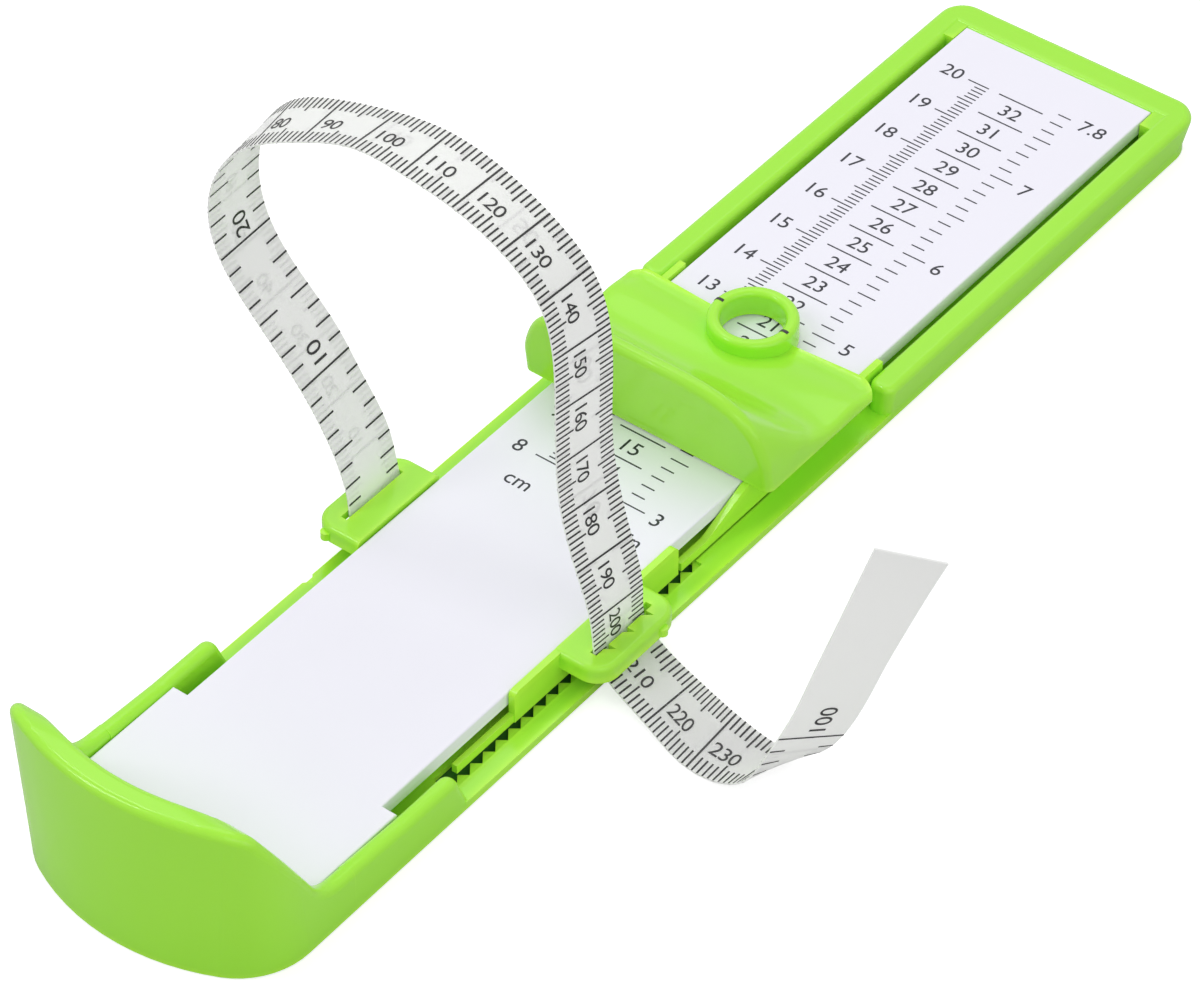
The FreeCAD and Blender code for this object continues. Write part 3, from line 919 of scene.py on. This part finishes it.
@dataclass
class GirthTape:
    """The printed tape: its arch over the instep, its free end and its two scales, in millimetres."""

    width: float = 12.5
    thickness: float = 0.3
    steps_along: int = 280
    steps_across: int = 4
    smooth_angle: float = 40.0
    printer: Printer = field(default_factory=Printer)
    # distance along the tape; its middle line's X, Y, Z; its width from heel edge to toe edge as X, Y, Z
    stations: tuple[tuple[float, ...], ...] = (
        (-3.9, -20.90, 87.00, 5.70, 0.00, 12.50, 0.00),
        (-1.4, -23.30, 87.00, 5.72, 0.00, 12.50, 0.00),
        (0.3, -24.50, 87.00, 6.60, 0.00, 12.50, -0.10),
        (2.0, -24.95, 87.10, 8.15, -0.30, 12.50, -0.20),
        (10.0, -26.89, 87.34, 15.92, -0.48, 12.49, -0.17),
        (20.0, -30.89, 86.73, 24.95, -1.03, 12.45, -0.37),
        (30.0, -35.77, 86.06, 33.50, -0.66, 12.48, -0.11),
        (40.0, -41.47, 85.14, 41.48, -0.95, 12.46, -0.27),
        (50.0, -46.30, 84.24, 50.01, -0.88, 12.47, -0.26),
        (60.0, -47.98, 83.73, 59.73, -0.65, 12.48, -0.23),
        (70.0, -45.74, 83.92, 69.34, -1.31, 12.43, -0.07),
        (80.0, -39.54, 84.27, 77.02, -1.67, 12.39, 0.21),
        (90.0, -30.63, 85.05, 81.24, -1.24, 12.41, -0.81),
        (100.0, -21.08, 86.04, 83.69, -0.95, 12.32, -1.92),
        (110.0, -11.22, 85.90, 84.37, -0.66, 12.46, -0.79),
        (120.0, -1.45, 85.65, 82.91, -0.54, 12.45, -0.98),
        (130.0, 7.68, 85.34, 79.30, -0.70, 12.40, -1.41),
        (140.0, 14.49, 85.94, 72.27, -0.26, 12.45, -1.03),
        (150.0, 17.31, 86.20, 62.79, 0.75, 12.45, -0.86),
        (160.0, 18.02, 85.85, 52.83, 1.00, 12.43, -0.82),
        (170.0, 18.45, 85.32, 42.85, 0.80, 12.45, -0.73),
        (180.0, 19.41, 85.47, 32.92, 1.01, 12.44, -0.69),
        (190.0, 22.30, 85.10, 23.50, 0.80, 12.45, -0.80),
        (200.0, 24.45, 85.50, 13.90, 0.30, 12.45, -1.00),
        (206.0, 24.65, 85.75, 7.95, 0.00, 12.45, -1.10),
        (208.0, 25.10, 85.75, 6.05, 0.20, 12.43, -1.10),
        (210.2, 26.75, 85.60, 4.40, 0.45, 12.44, -1.00),
        (220.0, 36.40, 83.73, 1.50, 0.63, 12.48, -0.06),
        (230.0, 46.07, 81.11, 1.06, 0.20, 12.40, 1.52),
        (239.6, 55.42, 80.95, 1.55, 0.17, 12.30, -2.36),
        (249.2, 61.67, 81.24, 8.08, 3.48, 11.03, -4.75),
        (259.2, 65.47, 83.02, 16.96, 4.81, 10.53, -4.53),
        (269.2, 68.35, 83.90, 26.43, 5.31, 10.63, -3.97),
        (279.2, 71.41, 84.17, 35.82, 5.78, 10.44, -3.86),
        (289.2, 74.65, 83.83, 45.11, 6.22, 9.95, -4.20),
        (299.2, 78.07, 82.87, 54.31, 6.62, 9.17, -4.99),
        (304.0, 79.77, 82.20, 58.69, 6.80, 8.69, -5.53),
    )
    mm_last: int = 24
    mm_end: int = 250
    mm_ticks: tuple[int, ...] = (1, 2, 3, 4, 6, 7, 8, 9)
    mm_short: float = 2.9
    mm_fifth: float = 3.8
    mm_digit: float = 2.75
    mm_digit_place: tuple[float, float] = (0.75, -0.7)
    mm_spacing: float = 0.92
    full_line: float = 0.34
    inch_line: float = 0.32
    inch_last: int = 10
    inch_parts: int = 8
    inch_short: float = 2.9
    inch_medium: float = 3.6
    inch_long: float = 4.5
    inch_digit: float = 3.3
    inch_digit_place: tuple[float, float] = (0.7, 0.0)

    def _frame_at(self, along: np.ndarray) -> tuple[np.ndarray, np.ndarray, np.ndarray]:
        """Middle line, width direction and outward direction of the tape.

        Args:
            along: distances along the tape.

        Returns:
            Three arrays of vectors, one row per distance.
        """
        table = np.array(self.stations)
        values, slopes = smooth_through(table[:, 0], table[:, 1:], along)
        across = values[:, 3:] / np.linalg.norm(values[:, 3:], axis=1)[:, None]
        outward = np.cross(slopes[:, :3], across)
        outward /= np.linalg.norm(outward, axis=1)[:, None]
        return values[:, :3], across, outward

    def _wrap(self, item: bpy.types.Object) -> None:
        """Bends a flat piece, laid out along X, onto the tape's run.

        Args:
            item: a settled mesh in metres: X along the tape, Y across it, Z off its face.
        """
        mesh = item.data
        flat = np.zeros(len(mesh.vertices) * 3)
        mesh.vertices.foreach_get("co", flat)
        flat = flat.reshape(-1, 3) / MM
        middle, across, outward = self._frame_at(flat[:, 0])
        bent = middle + across * flat[:, 1:2] + outward * flat[:, 2:3]
        mesh.vertices.foreach_set("co", (bent * MM).ravel())
        mesh.update()

    def _band(self) -> bpy.types.Object:
        """The tape itself, as a thin closed strip.

        Returns:
            The tape on its run.
        """
        start, end = self.stations[0][0], self.stations[-1][0]
        middle = ((start + end) / 2 * MM, 0, 0)
        Bench.deselect()
        bpy.ops.mesh.primitive_grid_add(
            x_subdivisions=self.steps_along, y_subdivisions=self.steps_across, size=1.0, location=middle
        )
        band = bpy.context.active_object
        band.scale = ((end - start) * MM, self.width * MM, 1.0)
        Bench.settle(band)
        self._wrap(band)
        wall = band.modifiers.new("wall", "SOLIDIFY")
        wall.thickness = self.thickness * MM
        wall.offset = 0.0
        bpy.ops.object.modifier_apply(modifier=wall.name)
        bpy.ops.object.shade_smooth_by_angle(angle=math.radians(self.smooth_angle))
        band.name = band.data.name = "girth_tape"
        return band

    @staticmethod
    def _turn_over(items: list[bpy.types.Object]) -> None:
        """Lays flat pieces on the reverse face: half a turn about the tape's length."""
        for item in items:
            for point in item.data.vertices:
                point.co.y, point.co.z = -point.co.y, -point.co.z

    def _ruling(
        self, pattern: list[tuple[float, float]], line: float, step: float, rows: int, lines: int
    ) -> list[bpy.types.Object]:
        """Ticks along both edges of the flat tape, and a full line at each step.

        Args:
            pattern: place and length of each tick within one step.
            line: width of a tick.
            step: distance between the full lines.
            rows: how many steps have ticks.
            lines: how many full lines there are.

        Returns:
            The ticks and the full lines.
        """
        edge, base = self.width / 2, self.thickness / 2
        ticks = []
        for place, size in pattern:
            ticks.append(self.printer.mark(place, -edge, size - edge, False, base, line))
            ticks.append(self.printer.mark(place, edge - size, edge, False, base, line))
        row = Bench.join(ticks, "row")
        full = self.printer.mark(step, -edge, edge, False, base, self.full_line)
        Bench.repeat(row, rows, Vector((step * MM, 0, 0)))
        Bench.repeat(full, lines, Vector((step * MM, 0, 0)))
        return [row, full]

    def _millimetre_face(self) -> bpy.types.Object:
        """Millimetre ticks along both edges and a line and number at each centimetre.

        Returns:
            The print, bent onto the tape.
        """
        pattern = [(5, self.mm_fifth)] + [(n, self.mm_short) for n in self.mm_ticks]
        parts = self._ruling(pattern, self.printer.line, 10, self.mm_end // 10, self.mm_last + 1)
        base, (x, y) = self.thickness / 2, self.mm_digit_place
        for n in range(1, self.mm_last + 1):
            number = (str(10 * n), 10 * n + x, y, self.mm_digit, base, Align.LEFT, self.mm_spacing)
            parts.append(self.printer.number(*number))
        joined = Bench.join(parts, "millimetre_print")
        self._wrap(joined)
        return joined

    def _inch_face(self) -> bpy.types.Object:
        """The reverse: a line and number at each inch, with seven ticks between.

        Returns:
            The print, bent onto the tape.
        """
        step = INCH / self.inch_parts
        sizes = {2: self.inch_medium, 4: self.inch_long, 6: self.inch_medium}
        pattern = [(n * step, sizes.get(n, self.inch_short)) for n in range(1, self.inch_parts)]
        parts = self._ruling(pattern, self.inch_line, INCH, self.inch_last, self.inch_last)
        base, (x, y) = self.thickness / 2, self.inch_digit_place
        for n in range(1, self.inch_last + 1):
            number = (str(10 * n), INCH * n + x, y, self.inch_digit, base, Align.LEFT)
            parts.append(self.printer.number(*number))
        self._turn_over(parts)
        joined = Bench.join(parts, "inch_print")
        self._wrap(joined)
        return joined

    def build(self, finishes: Finishes) -> None:
        """Builds the tape with its print in place of its plain solid.

        Args:
            finishes: the materials.
        """
        band = self._band()
        dress(band, finishes.plastic(TAPE))
        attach(band, "carrier")
        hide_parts("measuring_tape")
        prints = [self._millimetre_face(), self._inch_face()]
        for item in prints:
            dress(item, finishes.ink(TAPE_INK))
            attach(item, "carrier")


# ---------------------------------------------------------------- moulded pieces and studio


@dataclass
class MouldedPieces:
    """The plastic pieces that keep their own shape and only get a finish."""

    green: tuple[str, ...] = ("base_frame", "toe_slider", "girth_carrier")
    white: tuple[str, ...] = ("scale_plate",)

    def build(self, finishes: Finishes) -> None:
        """Dresses the pieces.

        Args:
            finishes: the materials.
        """
        for names, finish in ((self.green, GREEN), (self.white, WHITE)):
            for name in names:
                dress(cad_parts[name], finishes.plastic(finish))
                log.info("dressed %s in %s", name, finish.name)


@dataclass(frozen=True)
class Lamp:
    """A soft lamp, in metres and watts."""

    name: str
    place: tuple[float, float, float]
    wide: float
    tall: float
    power: float


@dataclass
class Studio:
    """Table, lamps, surroundings and camera."""

    centre: tuple[float, float, float] = (0.0, 0.12, 0.0)
    table_size: float = 12.0
    table_below: float = 0.0003
    table_colour: tuple[float, float, float] = (0.66, 0.66, 0.66)
    table_glow: float = 0.65
    table_rough: float = 0.9
    table_gloss: float = 0.1
    # painted shade: a dark green patch on the table under the base, so that its slots look deep in shadow
    under_colour: tuple[float, float, float] = (0.05, 0.18, 0.03)
    under_middle: tuple[float, float, float] = (0.0, 0.145, 0.0)
    under_half: tuple[float, float] = (0.023, 0.099)
    under_blur: float = 0.0015
    ambient: float = 0.57
    lamps: tuple[Lamp, ...] = (
        Lamp("lamp_over", (-0.35, 0.50, 1.05), 0.90, 0.90, 2.9),
        Lamp("lamp_crest", (-0.55, 0.10, 1.00), 0.10, 0.30, 0.6),
        Lamp("lamp_strip", (-0.62, -0.58, 0.90), 0.14, 0.60, 2.8),
        Lamp("lamp_side", (0.80, -0.45, 0.85), 0.60, 0.60, 1.7),
        Lamp("lamp_right", (1.05, 0.10, 0.45), 0.60, 0.60, 1.3),
    )
    azimuth: float = 37.7
    elevation: float = 42.98
    eye: tuple[float, float, float] = (0.3864, -0.3869, 0.5920)
    lens: float = 163.24
    sensor: float = 36.0
    clip: tuple[float, float] = (0.01, 60.0)

    def _clear_of_base(self, desk: NodeDesk) -> bpy.types.NodeSocket:
        """A mask for the painted shade: 1 away from the base, falling to 0 under it, where the table is
        painted dark so that its slots stay dark.

        Args:
            desk: the table material's desk.

        Returns:
            The mask socket.
        """
        offset = desk.node("ShaderNodeVectorMath", Vector=desk.place())
        offset.operation = "SUBTRACT"
        offset.inputs[1].default_value = self.under_middle
        apart = desk.node("ShaderNodeSeparateXYZ", Vector=offset.outputs[0])
        shares = []
        for axis, half in zip(("X", "Y"), self.under_half):
            away = desk.calculate("ABSOLUTE", apart.outputs[axis])
            shares.append(desk.spread(away, (half - self.under_blur, half + self.under_blur)))
        return desk.calculate("MAXIMUM", *shares)

    def _table(self) -> None:
        """A white table that keeps the shadows, with painted shade under the base: a dark green patch
        without the camera's brightening.
        """
        Bench.deselect()
        bpy.ops.mesh.primitive_plane_add(size=self.table_size, location=(0, 0, -self.table_below))
        table = bpy.context.active_object
        table.name = "table_top"
        material = bpy.data.materials.new("table_white")
        material.use_nodes = True
        desk = NodeDesk(material.node_tree)
        shader = material.node_tree.nodes["Principled BSDF"]
        shader.inputs["Roughness"].default_value = self.table_rough
        shader.inputs["Specular IOR Level"].default_value = self.table_gloss
        clear = self._clear_of_base(desk)
        # painted shade: the table's colour turns dark green under the base
        desk.feed(shader, "Base Color", desk.blend(clear, self.under_colour, self.table_colour))
        # painted shade: the camera's brightening is masked off under the base
        desk.feed(shader, "Emission Color", clear)
        seen = desk.node("ShaderNodeLightPath").outputs["Is Camera Ray"]
        desk.feed(shader, "Emission Strength", desk.spread(seen, to=(0.0, self.table_glow)))
        table.data.materials.append(material)

    def _surroundings(self) -> None:
        """White surroundings; softer where they light the piece."""
        world = bpy.data.worlds.new("surroundings")
        bpy.context.scene.world = world
        world.use_nodes = True
        tree = world.node_tree
        tree.nodes.clear()
        desk = NodeDesk(tree)
        paths = desk.node("ShaderNodeLightPath")
        seen = paths.outputs["Is Camera Ray"]
        for name in ("Is Glossy Ray", "Is Transmission Ray"):
            seen = desk.calculate("MAXIMUM", seen, paths.outputs[name])
        light = desk.node("ShaderNodeBackground", Color=(1.0, 1.0, 1.0, 1.0), Strength=self.ambient)
        white = desk.node("ShaderNodeBackground", Color=(1.0, 1.0, 1.0, 1.0), Strength=1.0)
        mixed = desk.node("ShaderNodeMixShader", Fac=seen)
        tree.links.new(light.outputs[0], mixed.inputs[1])
        tree.links.new(white.outputs[0], mixed.inputs[2])
        out = desk.node("ShaderNodeOutputWorld")
        tree.links.new(mixed.outputs[0], out.inputs["Surface"])

    def _lamps(self) -> None:
        """Hangs the soft lamps, each turned to the piece."""
        for lamp in self.lamps:
            light = bpy.data.lights.new(lamp.name, "AREA")
            light.shape = "RECTANGLE"
            light.size, light.size_y = lamp.wide, lamp.tall
            light.energy = lamp.power
            item = bpy.data.objects.new(lamp.name, light)
            item.location = lamp.place
            away = Vector(lamp.place) - Vector(self.centre)
            item.rotation_euler = away.to_track_quat("Z", "Y").to_euler()
            bpy.context.scene.collection.objects.link(item)

    def _camera(self) -> None:
        """Places the camera."""
        data = bpy.data.cameras.new("camera")
        data.lens = self.lens
        data.sensor_width = self.sensor
        data.clip_start, data.clip_end = self.clip
        camera = bpy.data.objects.new("camera", data)
        camera.location = self.eye
        camera.rotation_euler = (math.radians(90 - self.elevation), 0.0, math.radians(self.azimuth))
        bpy.context.scene.collection.objects.link(camera)
        bpy.context.scene.camera = camera

    def build(self) -> None:
        """Sets up the whole studio."""
        self._table()
        self._surroundings()
        self._lamps()
        self._camera()
        bpy.context.scene.view_settings.view_transform = "Standard"
        log.info("studio ready, %d lamps", len(self.lamps))


def main() -> None:
    """Builds the pieces in order."""
    logging.basicConfig(level=logging.INFO, format="%(name)s: %(message)s")
    finishes = Finishes()
    MouldedPieces().build(finishes)
    GirthTape().build(finishes)
    PlatePrint().build(finishes)
    ReadingMarks().build(finishes)
    Studio().build()


if __name__ == "__main__":
    main()
